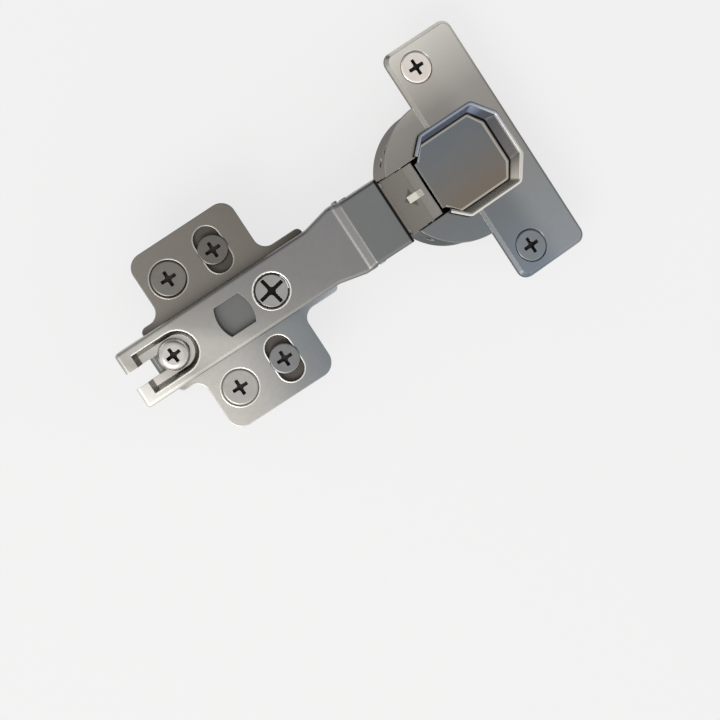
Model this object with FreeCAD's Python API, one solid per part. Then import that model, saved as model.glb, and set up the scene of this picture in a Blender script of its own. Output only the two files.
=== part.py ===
"""Soft-close concealed cabinet hinge on a cross mounting plate, shown open.

Row frame: origin at the centre of the plate's screw pattern, on the face that
meets the cabinet side. +X runs along the arm to the cup, +Z away from the side.
"""
import FreeCAD, Part
import math
import os

from FreeCAD import Vector, Rotation, Placement

# Mounting plate
PLATE_T = 2.0
SCREW_PITCH_X = 13.1
SCREW_PITCH_Y = 32.0
WING_REAR_X = -13.4
WING_FRONT_X = 16.2
WING_HALF_Y = 25.0
WING_CORNER_R = 3.8
WING_ROOT_R = 3.2
BODY_REAR_X = -19.5
BODY_FRONT_X = 27.2
BODY_HALF_Y = 9.15
BODY_CORNER_R = 1.4
HUMP_REAR_X = -21.1
HUMP_FRONT_X = 25.4
HUMP_HALF_Y = 5.9
HUMP_TOP_Z = 5.3
HUMP_EDGE_R = 1.2
HUMP_WEB_HALF_X = 2.0
COUNTERSINK_R = 4.75
SCREW_HOLE_R = 2.5
SLOT_HALF_X = 3.35
SLOT_LENGTH_Y = 12.5
EDGE_BREAK = 0.3

# Panel screws and cup screws
SCREW_HEAD_R = 4.0
SCREW_SHANK_R = 2.0
SCREW_HEAD_CONE_H = 2.0
PANEL_SCREW_LENGTH = 16.0
CUP_SCREW_LENGTH = 14.0
CROSS_SPAN = 4.1
CROSS_BAR = 0.9
CROSS_DEPTH = 1.6
SEAT_GAP = 0.02

# Depth screw, which clamps the fork of the arm to the hump
DEPTH_SCREW_X = -15.2
DEPTH_HEAD_R = 4.0
DEPTH_HEAD_H = 1.7
DEPTH_SHANK_R = 1.95
THREAD_GAP = 0.05
CLAMP_GAP = 0.35

# Side adjusting screw
SIDE_SCREW_X = 13.4
SIDE_HEAD_R = 3.95
SIDE_NECK_R = 1.7
SIDE_FOOT_R = 2.9
SIDE_FOOT_T = 1.1
SIDE_COLLAR_R = 3.0
SIDE_HOLE_GAP = 0.3
SIDE_CROSS_BAR = 1.2
SIDE_CROSS_TURN = 11.0
SLIDE_BACK = 1.0
SLIDE_FORWARD = 3.0

# Hinge arm, a pressed channel
ARM_T = 1.3
ARM_REAR_X = -27.5
ARM_FRONT_X = 49.1
ARM_HALF_Y = 7.7
FLARE_START_X = 28.1
FLARE_END_X = 35.2
FLARE_HALF_Y = 9.3
NOSE_START_X = 38.6
NOSE_HALF_Y = 8.95
STEP_START_X = 36.4
ARM_TOP_Z = 9.3
NOSE_TOP_Z = 10.3
ARM_WALL_Z = 3.2
FLARE_WALL_Z = 1.5
NOSE_WALL_Z = 0.9
NOSE_LIP_Z = 3.3
NOSE_LIP_X = 46.9
NOSE_DROP_X = 42.7
ARM_EDGE_R = 1.0
RECESS_REAR_X = -24.0
RECESS_HALF_Y = 5.4
RECESS_DEPTH = 2.3
RECESS_DRAFT = 1.15
RECESS_LEAD = 1.15
FORK_SLOT_HALF_Y = 2.2
FORK_SLOT_END_X = -13.2
WINDOW_REAR_X = -1.9
WINDOW_FRONT_X = 7.3
WINDOW_HALF_Y = 4.15
WINDOW_BOW = 1.1

# Linkage, open position
OPEN_ANGLE = 110.0
CUP_X = 67.5
CUP_Z = 2.4
OUTER_ARM_PIN = (39.8, 6.8)
INNER_ARM_PIN = (37.6, 2.7)
OUTER_CUP_PIN = (-11.2, 4.4)
INNER_CUP_PIN = (-13.4, 6.8)
PIN_R = 1.0
INNER_PIN_R = 0.8
PIN_RUN_GAP = 0.05
PIN_SEAT_GAP = 0.01
RIVET_STAND = 0.35

# Outer link
OUTER_LINK_HALF_Y = 6.1
LINK_NECK_HALF_Y = 7.6
LINK_NECK_START = 9.5
LINK_NECK_LENGTH = 4.9
LINK_PLATE_TOP = 3.0
LINK_PLATE_T = 1.2
KNUCKLE_R = 1.95
KNUCKLE_INNER_Y = 3.5
CHEEK_T = 1.7
CHEEK_EYE_R = 2.0
CHEEK_START = 9.9
LINK_TIP_R = 3.4
LINK_TIP_TOP = 2.25
LINK_TIP_T = 0.65

# Inner link, an eye on the cup pin and an open hook over the arm pin
INNER_LINK_HALF_Y = 1.6
INNER_EYE_R = 1.3
INNER_SHANK_HALF = 1.2
HOOK_TRAVEL_R = 1.81
HOOK_DROP = 0.07
HOOK_GAP = 0.15
HOOK_WALL = 0.65
HOOK_LEG = 1.2

# Closing springs, coiled round the outer link's arm pin beside the inner link
CLOSING_WIRE_R = 0.24
CLOSING_COIL_R = 1.32
CLOSING_TURNS = 2
CLOSING_Y = 2.6
CLOSING_LEG = 2.2

# Hinge cup, measured from the cup's centre on the flange's top face
FLANGE_T = 1.8
FLANGE_LEFT = -0.9
FLANGE_RIGHT = 19.4
FLANGE_HALF_Y = 32.4
FLANGE_CORNER_R = 2.6
FLANGE_BEVEL = 0.8
COLLAR_R = 18.25
COLLAR_TOP = 0.9
POT_R = 17.5
POT_DEPTH = 11.4
POT_FLOOR_T = 0.9
POT_EDGE_R = 0.8
CUP_SCREW_OFFSET = 5.5
CUP_SCREW_EDGE = 6.4
CUP_SCREW_PITCH = 2 * (FLANGE_HALF_Y - CUP_SCREW_EDGE)
RIM_HALF_Y = 11.35
RIM_RIGHT = 16.7
RIM_CHAMFER_X = 12.3
RIM_CHAMFER_Y = 5.7
RIM_LEFT = -2.6
RIM_DRAFT_DEPTH = 2.2
RIM_CLEAR = 0.2
WELL_HALF_Y = 9.9
WELL_RIGHT = 14.6
WELL_CHAMFER_X = 11.2
WELL_CHAMFER_Y = 5.9
WELL_LEFT = -4.6
NECK_HALF_Y = 7.75
NECK_RIM_X = -6.5
NECK_WELL_X = -7.2
HINGE_WALL_X = -15.9
NECK_NOTCH_DEPTH = 7.4
LINK_NOTCH_HALF_Y = 2.1
LINK_NOTCH_DEPTH = 9.6

# Damper cover flap
FLAP_TOP = 2.0
FLAP_T = 1.2
FLAP_HALF_Y = 9.5
FLAP_RIGHT = 13.2
FLAP_CHAMFER_X = 10.7
FLAP_CHAMFER_Y = 5.7
FLAP_LEFT_SHOULDER = -4.4
FLAP_TONGUE_SHOULDER = -7.2
FLAP_TONGUE_END = -7.8
FLAP_TONGUE_HALF_Y = 6.5
FLAP_PIN_X = 12.0
FLAP_PIN_DEPTH = 3.9
FLAP_PIN_R = 0.8
FLAP_EAR_T = 1.2
FLAP_EAR_INNER_Y = 5.6
FLAP_EAR_R = 1.5

# Damper in the cup
DAMPER_X = 6.5
DAMPER_LEFT = 3.5
DAMPER_RIGHT = 11.6
DAMPER_HALF_Y = 6.6
DAMPER_TOP = 7.0
DAMPER_BORE_R = 2.6
DAMPER_BORE_BOTTOM = 12.0
CAP_T = 0.8
CAP_R = 3.2
PISTON_GAP = 0.08
PISTON_HEAD_T = 1.2
PISTON_ROD_R = 1.1
PISTON_TOUCH_GAP = 0.15
SEAL_R = 0.28
SEAL_GAP = 0.02

PARTS = "parts"
Y_AXIS = Vector(0, 1, 0)
Z_AXIS = Vector(0, 0, 1)
CUP_TILT = OPEN_ANGLE - 90.0
CUP_PLACE = Placement(Vector(CUP_X, 0, CUP_Z), Rotation(Y_AXIS, CUP_TILT))


def in_cup(shape):
    """Move a solid from the cup's own frame (z up out of the pot) to the row frame."""
    moved = shape.copy()
    moved.Placement = CUP_PLACE.multiply(moved.Placement)
    return moved


def cup_point(along, depth):
    """Row X and Z of a point given along the cup and down into it."""
    point = CUP_PLACE.multVec(Vector(along, 0, -depth))
    return point.x, point.z


def rounded_wire(corners, place):
    """Closed outline of straight runs and tangent arcs; each corner is (u, v, radius)."""
    count = len(corners)
    ends = []
    for i in range(count):
        u, v, radius = corners[i]
        before = Vector(*corners[i - 1][:2], 0) - Vector(u, v, 0)
        after = Vector(*corners[(i + 1) % count][:2], 0) - Vector(u, v, 0)
        before.normalize()
        after.normalize()
        corner = Vector(u, v, 0)
        if radius <= 0:
            ends.append((corner, None, corner))
            continue
        half = before.getAngle(after) / 2
        bisector = before + after
        bisector.normalize()
        run = radius / math.tan(half)
        middle = corner + bisector * (radius / math.sin(half) - radius)
        ends.append((corner + before * run, middle, corner + after * run))
    edges = []
    for i in range(count):
        start, middle, end = ends[i]
        if middle is not None:
            edges.append(Part.Arc(place(start), place(middle), place(end)).toShape())
        following = ends[(i + 1) % count][0]
        if (following - end).Length > 1e-6:
            edges.append(Part.LineSegment(place(end), place(following)).toShape())
    return Part.Wire(edges)


def flat(height):
    """Outline plane parallel to XY at a height."""
    return lambda p: Vector(p.x, p.y, height)


def upright(y):
    """Outline plane parallel to XZ at a Y position."""
    return lambda p: Vector(p.x, y, p.y)


def slab(corners, low, high):
    """Outline in XY, extruded from low to high in Z."""
    face = Part.Face(rounded_wire(corners, flat(low)))
    return face.extrude(Vector(0, 0, high - low))


def side_slab(corners, low_y, high_y):
    """Outline in XZ, extruded from low_y to high_y."""
    face = Part.Face(rounded_wire(corners, upright(low_y)))
    return face.extrude(Vector(0, high_y - low_y, 0))


def mirrored(half):
    """Corners given for +Y, completed with their mirror image."""
    return half + [(u, -v, r) for u, v, r in reversed(half)]


def post(x, y, low, high, radius):
    return Part.makeCylinder(radius, high - low, Vector(x, y, low), Z_AXIS)


def cross_pin(x, z, low_y, high_y, radius):
    return Part.makeCylinder(radius, high_y - low_y, Vector(x, low_y, z), Y_AXIS)


def box(x0, x1, y0, y1, z0, z1):
    return Part.makeBox(x1 - x0, y1 - y0, z1 - z0, Vector(x0, y0, z0))


def cross_recess(x, y, top, span, bar, depth):
    """Cross-shaped driver recess, cut down from the top of a head."""
    arms = []
    for dx, dy in ((span / 2, bar / 2), (bar / 2, span / 2)):
        arms.append(box(x - dx, x + dx, y - dy, y + dy, top - depth, top + 1))
    cone = Part.makeCone(bar * 0.2, bar * 0.95, depth, Vector(x, y, top - depth), Z_AXIS)
    return arms[0].fuse([arms[1], cone])


def countersunk_screw(x, y, top, length):
    """Flat-headed screw with a pointed end, standing along Z with its head at top."""
    head = Part.makeCone(SCREW_SHANK_R, SCREW_HEAD_R, SCREW_HEAD_CONE_H,
                         Vector(x, y, top - SCREW_HEAD_CONE_H), Z_AXIS)
    point_h = 2 * SCREW_SHANK_R
    shank = post(x, y, top - length + point_h, top - SCREW_HEAD_CONE_H, SCREW_SHANK_R)
    point = Part.makeCone(0.2, SCREW_SHANK_R, point_h, Vector(x, y, top - length), Z_AXIS)
    screw = head.fuse([shank, point]).removeSplitter()
    return screw.cut(cross_recess(x, y, top, CROSS_SPAN, CROSS_BAR, CROSS_DEPTH))


def mounting_plate():
    outline = mirrored([
        (BODY_REAR_X, BODY_HALF_Y, BODY_CORNER_R),
        (WING_REAR_X, BODY_HALF_Y, WING_ROOT_R),
        (WING_REAR_X, WING_HALF_Y, WING_CORNER_R),
        (WING_FRONT_X, WING_HALF_Y, WING_CORNER_R),
        (WING_FRONT_X, BODY_HALF_Y, WING_ROOT_R),
        (BODY_FRONT_X, BODY_HALF_Y, BODY_CORNER_R),
    ])
    sheet = slab(outline, 0, PLATE_T)
    hump = slab(mirrored([(HUMP_REAR_X, HUMP_HALF_Y, 1.5), (HUMP_FRONT_X, HUMP_HALF_Y, 2.5)]),
                0, HUMP_TOP_Z)
    top_edges = [e for e in hump.Edges
                 if abs(e.BoundBox.ZMin - HUMP_TOP_Z) < 1e-6 and abs(e.BoundBox.ZMax - HUMP_TOP_Z) < 1e-6]
    hump = hump.makeFillet(HUMP_EDGE_R, top_edges)
    plate = sheet.fuse(hump)
    hollow = slab(mirrored([(HUMP_REAR_X + PLATE_T, HUMP_HALF_Y - PLATE_T, 0.6),
                            (HUMP_FRONT_X - PLATE_T, HUMP_HALF_Y - PLATE_T, 1.2)]),
                  -1, HUMP_TOP_Z - PLATE_T)
    web = box(-HUMP_WEB_HALF_X, HUMP_WEB_HALF_X, -HUMP_HALF_Y, HUMP_HALF_Y, 0, HUMP_TOP_Z - PLATE_T)
    plate = plate.cut(hollow.cut(web))
    cuts = []
    for side in (-1, 1):
        y = side * SCREW_PITCH_Y / 2
        rear_x = -SCREW_PITCH_X / 2
        cone_h = COUNTERSINK_R - SCREW_HOLE_R
        cuts.append(post(rear_x, y, -1, PLATE_T + 1, SCREW_HOLE_R))
        cuts.append(Part.makeCone(SCREW_HOLE_R, COUNTERSINK_R + 1, cone_h + 1,
                                  Vector(rear_x, y, PLATE_T - cone_h), Z_AXIS))
        front_x = SCREW_PITCH_X / 2
        cuts.append(stadium(front_x, y, SLOT_HALF_X, SLOT_LENGTH_Y, -1, PLATE_T + 1))
    cuts.append(post(DEPTH_SCREW_X, 0, 0, HUMP_TOP_Z + 1, DEPTH_SHANK_R + THREAD_GAP))
    slide_low = SIDE_SCREW_X - SLIDE_BACK
    slide_high = SIDE_SCREW_X + SLIDE_FORWARD
    key_x = slide_high + SIDE_NECK_R + SIDE_FOOT_R
    key_half = SIDE_NECK_R + THREAD_GAP * 4
    cuts.append(box(slide_low, key_x, -key_half, key_half, 1, HUMP_TOP_Z + 1))
    cuts.append(post(slide_low, 0, 1, HUMP_TOP_Z + 1, key_half))
    cuts.append(post(key_x, 0, 1, HUMP_TOP_Z + 1, SIDE_FOOT_R + 0.3))
    return plate.cut(cuts).removeSplitter()


def stadium(x, y, half_x, length_y, low, high):
    """Slot with round ends, running along Y."""
    reach = length_y / 2 - half_x
    body = box(x - half_x, x + half_x, y - reach, y + reach, low, high)
    return body.fuse([post(x, y - reach, low, high, half_x), post(x, y + reach, low, high, half_x)])


def panel_screw(row, side):
    """Rear screws seat in countersinks, front screws on the rims of the slots."""
    x = row * SCREW_PITCH_X / 2
    y = side * SCREW_PITCH_Y / 2
    if row < 0:
        top = PLATE_T - (COUNTERSINK_R - SCREW_HEAD_R) + SEAT_GAP
    else:
        top = PLATE_T + (SCREW_HEAD_R - SLOT_HALF_X) + SEAT_GAP
    return countersunk_screw(x, y, top, PANEL_SCREW_LENGTH)


def ledge_top():
    return ARM_TOP_Z - RECESS_DEPTH


def depth_screw():
    seat = ledge_top() + CLAMP_GAP
    disc = post(DEPTH_SCREW_X, 0, seat, seat + DEPTH_HEAD_H, DEPTH_HEAD_R)
    rim = [e for e in disc.Edges if abs(e.BoundBox.ZMin - seat - DEPTH_HEAD_H) < 1e-6
           and e.Length > DEPTH_HEAD_R]
    head = disc.makeFillet(DEPTH_HEAD_H * 0.55, rim)
    shank = post(DEPTH_SCREW_X, 0, 0.4, seat, DEPTH_SHANK_R)
    screw = head.fuse(shank).removeSplitter()
    top = seat + DEPTH_HEAD_H
    return screw.cut(cross_recess(DEPTH_SCREW_X, 0, top, CROSS_SPAN, CROSS_BAR, CROSS_DEPTH))


def side_adjusting_screw():
    top = ARM_TOP_Z - 0.2
    collar_low = HUMP_TOP_Z + 0.3
    head_low = collar_low + 0.9
    hump_under = HUMP_TOP_Z - PLATE_T
    foot_high = hump_under - 0.3
    x = SIDE_SCREW_X
    head = post(x, 0, head_low, top, SIDE_HEAD_R)
    pieces = [
        post(x, 0, collar_low, head_low, SIDE_COLLAR_R),
        post(x, 0, foot_high, collar_low, SIDE_NECK_R),
        post(x, 0, foot_high - SIDE_FOOT_T, foot_high, SIDE_FOOT_R),
    ]
    screw = head.fuse(pieces).removeSplitter()
    recess = cross_recess(x, 0, top, 2 * SIDE_HEAD_R + 1, SIDE_CROSS_BAR, 1.5)
    recess.rotate(Vector(x, 0, 0), Z_AXIS, SIDE_CROSS_TURN)
    return screw.cut(recess)


def arm_outline(inset):
    """Half outline of the arm seen from above, drawn in by inset."""
    return [
        (ARM_REAR_X - (1 if inset else 0), ARM_HALF_Y - inset, 0 if inset else 0.8),
        (FLARE_START_X, ARM_HALF_Y - inset, 4.0),
        (FLARE_END_X, FLARE_HALF_Y - inset, 2.0),
        (STEP_START_X + 0.8, FLARE_HALF_Y - inset, 1.0),
        (NOSE_START_X, NOSE_HALF_Y - inset, 1.0),
        (ARM_FRONT_X + (1 if inset else 0), NOSE_HALF_Y - inset, 0 if inset else 0.3),
    ]


def arm_profile(inset):
    """Side profile of the arm's skin, drawn in by inset; the underside stays open."""
    top = ARM_TOP_Z - inset
    nose = NOSE_TOP_Z - inset
    shift = inset * 0.25
    end = 1 if inset else 0
    if inset:
        return [
            (ARM_REAR_X - end, top, 0), (STEP_START_X + shift, top, 1.0),
            (NOSE_START_X + shift, nose, 1.0), (ARM_FRONT_X + end, nose, 0),
            (ARM_FRONT_X + end, -5, 0), (ARM_REAR_X - end, -5, 0),
        ]
    return [
        (ARM_REAR_X, top, 0), (STEP_START_X, top, 1.5), (NOSE_START_X, nose, 1.5),
        (ARM_FRONT_X, nose, 0), (ARM_FRONT_X, NOSE_LIP_Z, 0.5), (NOSE_LIP_X, NOSE_WALL_Z, 1.2),
        (NOSE_DROP_X, NOSE_WALL_Z, 1.0), (NOSE_DROP_X - 1.0, FLARE_WALL_Z, 1.0),
        (FLARE_START_X + 5, FLARE_WALL_Z, 3.0), (FLARE_START_X + 1, ARM_WALL_Z, 3.0),
        (ARM_REAR_X + 3, ARM_WALL_Z, 2.0), (ARM_REAR_X, ARM_WALL_Z + 1.6, 1.0),
    ]


def recess_solid(inset, depth):
    """Sunk seat round the depth screw: a half-round ended pan with drafted sides."""
    half = RECESS_HALF_Y - inset
    low_half = half - RECESS_DRAFT
    front_x = DEPTH_SCREW_X + RECESS_LEAD
    wires = []
    for z, h, rear in ((ARM_TOP_Z, half, RECESS_REAR_X + inset),
                       (ARM_TOP_Z - depth, low_half, RECESS_REAR_X + inset + RECESS_DRAFT)):
        edges = [
            Part.LineSegment(Vector(front_x, -h, z), Vector(rear, -h, z)).toShape(),
            Part.LineSegment(Vector(rear, -h, z), Vector(rear, h, z)).toShape(),
            Part.LineSegment(Vector(rear, h, z), Vector(front_x, h, z)).toShape(),
            Part.Arc(Vector(front_x, h, z), Vector(front_x + h, 0, z), Vector(front_x, -h, z)).toShape(),
        ]
        wires.append(Part.Wire(edges))
    return Part.makeLoft(wires, True, True)


def hinge_arm():
    outer = slab(mirrored(arm_outline(0)), -5, NOSE_TOP_Z + 1).common(
        side_slab(arm_profile(0), -12, 12))
    long_edges = []
    for edge in outer.Edges:
        b = edge.BoundBox
        if b.ZMin > ARM_TOP_Z - 0.01 and b.XLength > 0.3 and b.YLength < 2.5 and abs(b.Center.y) > 7:
            long_edges.append(edge)
    outer = outer.makeFillet(ARM_EDGE_R, long_edges)
    inner = slab(mirrored(arm_outline(ARM_T)), -6, NOSE_TOP_Z + 2).common(
        side_slab(arm_profile(ARM_T), -12, 12))
    arm = outer.cut(inner)
    pan = recess_solid(-0.9, RECESS_DEPTH + ARM_T)
    keep_in = box(ARM_REAR_X, 0, -ARM_HALF_Y + ARM_T / 2, ARM_HALF_Y - ARM_T / 2,
                  ledge_top() - ARM_T, ARM_TOP_Z)
    arm = arm.fuse(pan.common(keep_in))
    arm = arm.cut(recess_solid(0, RECESS_DEPTH))
    slot_end = FORK_SLOT_END_X
    tools = [
        box(ARM_REAR_X - 1, slot_end, -FORK_SLOT_HALF_Y, FORK_SLOT_HALF_Y, 0, ARM_TOP_Z + 1),
        post(slot_end, 0, 0, ARM_TOP_Z + 1, FORK_SLOT_HALF_Y),
        window_cut(),
        post(SIDE_SCREW_X, 0, 6, ARM_TOP_Z + 1, SIDE_HEAD_R + SIDE_HOLE_GAP),
        Part.makeCone(SIDE_HEAD_R + SIDE_HOLE_GAP, SIDE_HEAD_R + SIDE_HOLE_GAP + 0.5, 0.5,
                      Vector(SIDE_SCREW_X, 0, ARM_TOP_Z - 0.3), Z_AXIS),
        cross_pin(OUTER_ARM_PIN[0], OUTER_ARM_PIN[1], -12, 12, PIN_R + PIN_SEAT_GAP),
        cross_pin(INNER_ARM_PIN[0], INNER_ARM_PIN[1], -12, 12, INNER_PIN_R + PIN_SEAT_GAP),
    ]
    return arm.cut(tools).removeSplitter()


def window_cut():
    """Opening in the arm's top with bowed ends."""
    z = 0.0
    h = WINDOW_HALF_Y
    x0 = WINDOW_REAR_X
    x1 = WINDOW_FRONT_X
    b = WINDOW_BOW
    edges = [
        Part.Arc(Vector(x0 + b, h, z), Vector(x0, 0, z), Vector(x0 + b, -h, z)).toShape(),
        Part.LineSegment(Vector(x0 + b, -h, z), Vector(x1 - b, -h, z)).toShape(),
        Part.Arc(Vector(x1 - b, -h, z), Vector(x1, 0, z), Vector(x1 - b, h, z)).toShape(),
        Part.LineSegment(Vector(x1 - b, h, z), Vector(x0 + b, h, z)).toShape(),
    ]
    face = Part.Face(Part.Wire(edges))
    cut = face.extrude(Vector(0, 0, ARM_TOP_Z + 1))
    cut.translate(Vector(0, 0, HUMP_TOP_Z + 0.2))
    return cut


def arm_pin(centre, radius, reach):
    """Riveted pin across the arm's walls."""
    pin = cross_pin(centre[0], centre[1], -reach, reach, radius)
    return pin.makeChamfer(0.2, [e for e in pin.Edges if abs(abs(e.CenterOfMass.y) - reach) < 1e-6])


def link_frame(start, end):
    """Placement that carries (along, up) link coordinates to the row frame."""
    dx = end[0] - start[0]
    dz = end[1] - start[1]
    angle = math.degrees(math.atan2(dz, dx))
    return Placement(Vector(start[0], 0, start[1]), Rotation(Y_AXIS, -angle)), math.hypot(dx, dz)


def outer_link():
    """Pressed link: two knuckles on the arm pin, a flat neck and two cheeks on the cup pins."""
    cup_pin = cup_point(*OUTER_CUP_PIN)
    place, length = link_frame(OUTER_ARM_PIN, cup_pin)
    w = OUTER_LINK_HALF_Y
    top = LINK_PLATE_TOP
    low = LINK_PLATE_TOP - LINK_PLATE_T
    tip_u = length + math.sqrt(LINK_TIP_R ** 2 - LINK_TIP_TOP ** 2)
    plate = side_slab([
        (0, KNUCKLE_R, 0), (1.2, KNUCKLE_R, 0.8), (3.0, top, 1.2), (length - 0.6, top, 3.0),
        (tip_u, LINK_TIP_TOP, 0.35), (tip_u - 0.2, LINK_TIP_TOP - LINK_TIP_T, 0.2),
        (length - 0.9, low, 2.0), (3.4, low, 1.0), (1.8, KNUCKLE_R - LINK_PLATE_T, 0.6),
        (0, KNUCKLE_R - LINK_PLATE_T, 0),
    ], -w, w)
    wide_end = LINK_NECK_START + LINK_NECK_LENGTH
    n = LINK_NECK_HALF_Y
    neck = slab([
        (LINK_NECK_START, -n, 0.4), (wide_end - 0.4, -n, 0.5), (wide_end + 0.8, -w, 0.5),
        (wide_end + 0.8, w, 0.5), (wide_end - 0.4, n, 0.5), (LINK_NECK_START, n, 0.4),
    ], low, top)
    keep = side_slab([
        (0, top, 0), (length - 0.6, top, 3.0), (tip_u, LINK_TIP_TOP, 0), (tip_u, 0, 0), (0, 0, 0),
    ], -n, n)
    neck = neck.common(keep)
    pieces = [neck]
    for side in (-1, 1):
        y0 = min(side * w, side * (w - CHEEK_T))
        cheek = side_slab([
            (CHEEK_START, low + 0.3, 0), (length + 1.4, low + 0.3, 0.3),
            (length + CHEEK_EYE_R * 0.9, 0, 1.0), (length, -CHEEK_EYE_R, 0),
            (length - 3.0, -1.0, 2.0), (CHEEK_START, 0.6, 0.5),
        ], y0, y0 + CHEEK_T)
        pieces.append(cheek)
        pieces.append(cross_pin(length, 0, y0, y0 + CHEEK_T, CHEEK_EYE_R))
        k0 = min(side * w, side * KNUCKLE_INNER_Y)
        pieces.append(cross_pin(0, 0, k0, k0 + w - KNUCKLE_INNER_Y, KNUCKLE_R))
    link = plate.fuse(pieces)
    gap = box(-KNUCKLE_R - 1, 2.4, -KNUCKLE_INNER_Y, KNUCKLE_INNER_Y, -KNUCKLE_R - 1, top + 1)
    bores = [
        gap,
        cross_pin(0, 0, -w - 1, w + 1, PIN_R + PIN_RUN_GAP),
        cross_pin(length, 0, -w - 1, w + 1, PIN_R + PIN_RUN_GAP),
    ]
    link = link.cut(bores).removeSplitter()
    link.Placement = place
    return link


def inner_link():
    """Hidden link: a round eye on the cup pin and a hook that rides round the arm pin."""
    eye_x, eye_z = cup_point(*INNER_CUP_PIN)
    hook_x = INNER_ARM_PIN[0] - HOOK_TRAVEL_R
    hook_z = INNER_ARM_PIN[1] - HOOK_DROP
    inner_r = HOOK_TRAVEL_R + INNER_PIN_R + HOOK_GAP
    outer_r = inner_r + HOOK_WALL
    w = INNER_LINK_HALF_Y
    leg_x = hook_x + inner_r + HOOK_WALL / 2
    place, length = link_frame((eye_x, eye_z), (leg_x, hook_z))
    s = INNER_SHANK_HALF
    shank = side_slab([
        (0, s, 0), (0, -s, 0), (length - 1.5, -s, 1.0), (length, -HOOK_WALL / 2, 0),
        (length, HOOK_WALL / 2, 0), (length - 1.5, s, 1.0),
    ], -w, w)
    shank.Placement = place
    link = shank.fuse([
        cross_pin(eye_x, eye_z, -w, w, INNER_EYE_R),
        cross_pin(hook_x, hook_z, -w, w, outer_r),
    ])
    low = hook_z - HOOK_LEG
    return link.cut([
        cross_pin(hook_x, hook_z, -w - 1, w + 1, inner_r),
        box(hook_x - outer_r - 1, hook_x + inner_r, -w - 1, w + 1, low - outer_r, low),
        cross_pin(eye_x, eye_z, -w - 1, w + 1, INNER_PIN_R + PIN_RUN_GAP),
    ]).removeSplitter()


def closing_spring(side):
    """Torsion spring beside the inner link, with both legs under the arm's top."""
    pitch = 2.4 * CLOSING_WIRE_R
    height = pitch * CLOSING_TURNS
    helix = Part.makeHelix(pitch, height, CLOSING_COIL_R)
    profile = Part.Wire(Part.makeCircle(CLOSING_WIRE_R, Vector(CLOSING_COIL_R, 0, 0), Y_AXIS))
    coil = Part.Wire(helix).makePipeShell([profile], True, True)
    coil.translate(Vector(0, 0, -height / 2))
    coil.rotate(Vector(0, 0, 0), Vector(1, 0, 0), 90)
    coil.rotate(Vector(0, 0, 0), Y_AXIS, -90)
    x, z = OUTER_ARM_PIN
    coil.translate(Vector(x, CLOSING_Y, z))
    legs = []
    for end in (-1, 1):
        start = Vector(x, CLOSING_Y + end * height / 2, z + CLOSING_COIL_R)
        legs.append(Part.makeCylinder(CLOSING_WIRE_R, CLOSING_LEG, start, Vector(-1, 0, 0)))
    spring = coil.fuse(legs).removeSplitter()
    return spring if side > 0 else spring.mirror(Vector(0, 0, 0), Y_AXIS)


def rim_outline(hw, right, cham_x, cham_y, left, neck_x):
    """Recess outline in the cup: octagon to the right, neck opening to the left."""
    return mirrored([
        (-COLLAR_R - 3, NECK_HALF_Y, 0), (neck_x, NECK_HALF_Y, 0.4), (left, hw, 0.4),
        (cham_x, hw, 0.8), (right, cham_y, 0.8),
    ])


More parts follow.
